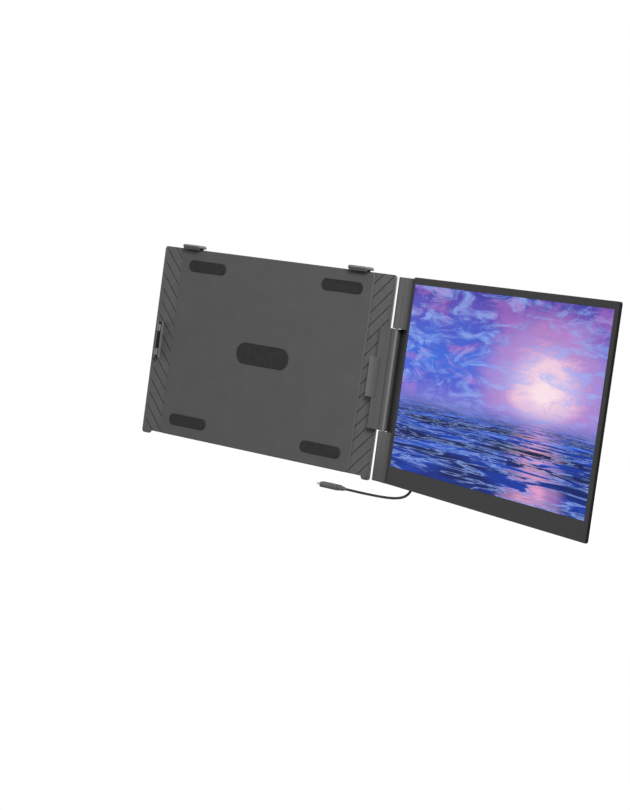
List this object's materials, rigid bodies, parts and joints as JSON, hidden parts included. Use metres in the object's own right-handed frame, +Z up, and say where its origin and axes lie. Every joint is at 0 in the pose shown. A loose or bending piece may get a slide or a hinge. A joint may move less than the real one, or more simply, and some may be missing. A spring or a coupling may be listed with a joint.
{
  "type": "laptop screen extender",
  "caption": "Add-on screen for a laptop: a bracket with hooks and sliding clips grips the lid, and the screen turns beside it on an upright friction hinge.",
  "frame": {"origin": "middle of the front face of the middle pad, which the back of the laptop's lid rests on", "axes": "+X to the right along the lid, towards the hinged screen; +Y away from the user, out of the lid's back; +Z up along the lid"},
  "size_m": [0.7886, 0.1615, 0.2599],
  "materials": {
    "bracket_plastic": "fine textured moulding",
    "arm_plastic": "ribbed moulding",
    "hinge_plastic": "fine textured moulding",
    "bezel_plastic": "satin",
    "cover_plastic": "fine textured moulding",
    "button_plastic": "satin",
    "pad_rubber": "matte",
    "cord_rubber": "satin",
    "steel": "satin",
    "black_screw": "black oxide",
    "port_metal": "bright nickel",
    "screen_glass": "anti-glare",
    "panel_parts": "smooth",
    "light_sheet": "smooth",
    "circuit_board": "solder mask",
    "speaker_plastic": "matte"
  },
  "bodies": {
    "bracket": {"bracket_front_shell": "bracket_plastic", "bracket_rear_cover": "bracket_plastic", "lid_pads": "pad_rubber", "brake_springs": "steel", "bracket_screws": "black_screw", "kickstand_pin": "steel"},
    "left_arm": {"left_arm_plate": "arm_plastic", "left_clip": "hinge_plastic", "left_clip_pad": "pad_rubber", "left_arm_screws": "black_screw"},
    "right_arm": {"right_arm_plate": "arm_plastic", "right_clip": "hinge_plastic", "right_clip_pad": "pad_rubber", "hinge_housing": "hinge_plastic", "hinge_cover": "hinge_plastic", "friction_cartridges": "steel", "right_arm_screws": "black_screw"},
    "left_hook": {"left_hook": "bracket_plastic", "left_hook_pad": "pad_rubber"},
    "right_hook": {"right_hook": "bracket_plastic", "right_hook_pad": "pad_rubber"},
    "kickstand": {"kickstand": "bracket_plastic", "kickstand_foot": "pad_rubber"},
    "screen": {"front_frame": "bezel_plastic", "display_glass": "screen_glass", "lcd_panel": "panel_parts", "backlight": "light_sheet", "screen_back_cover": "cover_plastic", "upper_knuckle": "hinge_plastic", "lower_knuckle": "hinge_plastic", "hinge_shafts": "steel", "hinge_leaves": "steel", "electronics_cover": "cover_plastic", "driver_board": "circuit_board", "usb_c_port": "port_metal", "spare_usb_c_port": "port_metal", "mini_hdmi_port": "port_metal", "speakers": "speaker_plastic", "button_switches": "panel_parts", "screen_screws": "black_screw", "screen_plug": "cord_rubber", "usb_cord": "cord_rubber", "laptop_plug": "cord_rubber"},
    "power_button": {"power_button": "button_plastic"},
    "minus_button": {"minus_button": "button_plastic"},
    "plus_button": {"plus_button": "button_plastic"}
  },
  "joints": [
    {"name": "left_arm_slide", "type": "slide", "parent": "bracket", "child": "left_arm", "axis": [-1, 0, 0], "range_m": [-0.018, 0.017]},
    {"name": "right_arm_slide", "type": "slide", "parent": "bracket", "child": "right_arm", "axis": [1, 0, 0], "range_m": [-0.018, 0.017]},
    {"name": "left_hook_slide", "type": "slide", "parent": "bracket", "child": "left_hook", "axis": [0, 0, 1], "range_m": [0, 0.018]},
    {"name": "right_hook_slide", "type": "slide", "parent": "bracket", "child": "right_hook", "axis": [0, 0, 1], "range_m": [0, 0.018]},
    {"name": "screen_hinge", "type": "hinge", "parent": "right_arm", "child": "screen", "pos_m": [0.2115, -0.00975, 0], "axis": [0, 0, 1], "range_deg": [-159.9, 55.1]},
    {"name": "kickstand_hinge", "type": "hinge", "parent": "bracket", "child": "kickstand", "pos_m": [0, 0.0078, 0.018], "axis": [1, 0, 0], "range_deg": [0, 60]},
    {"name": "power_button_press", "type": "slide", "parent": "screen", "child": "power_button", "axis": [0, 0, -1], "range_m": [0, 0.0006], "stiffness_N_per_m": 2000, "springref_m": -0.0003},
    {"name": "minus_button_press", "type": "slide", "parent": "screen", "child": "minus_button", "axis": [0, 0, -1], "range_m": [0, 0.0006], "stiffness_N_per_m": 2000, "springref_m": -0.0003},
    {"name": "plus_button_press", "type": "slide", "parent": "screen", "child": "plus_button", "axis": [0, 0, -1], "range_m": [0, 0.0006], "stiffness_N_per_m": 2000, "springref_m": -0.0003}
  ]
}
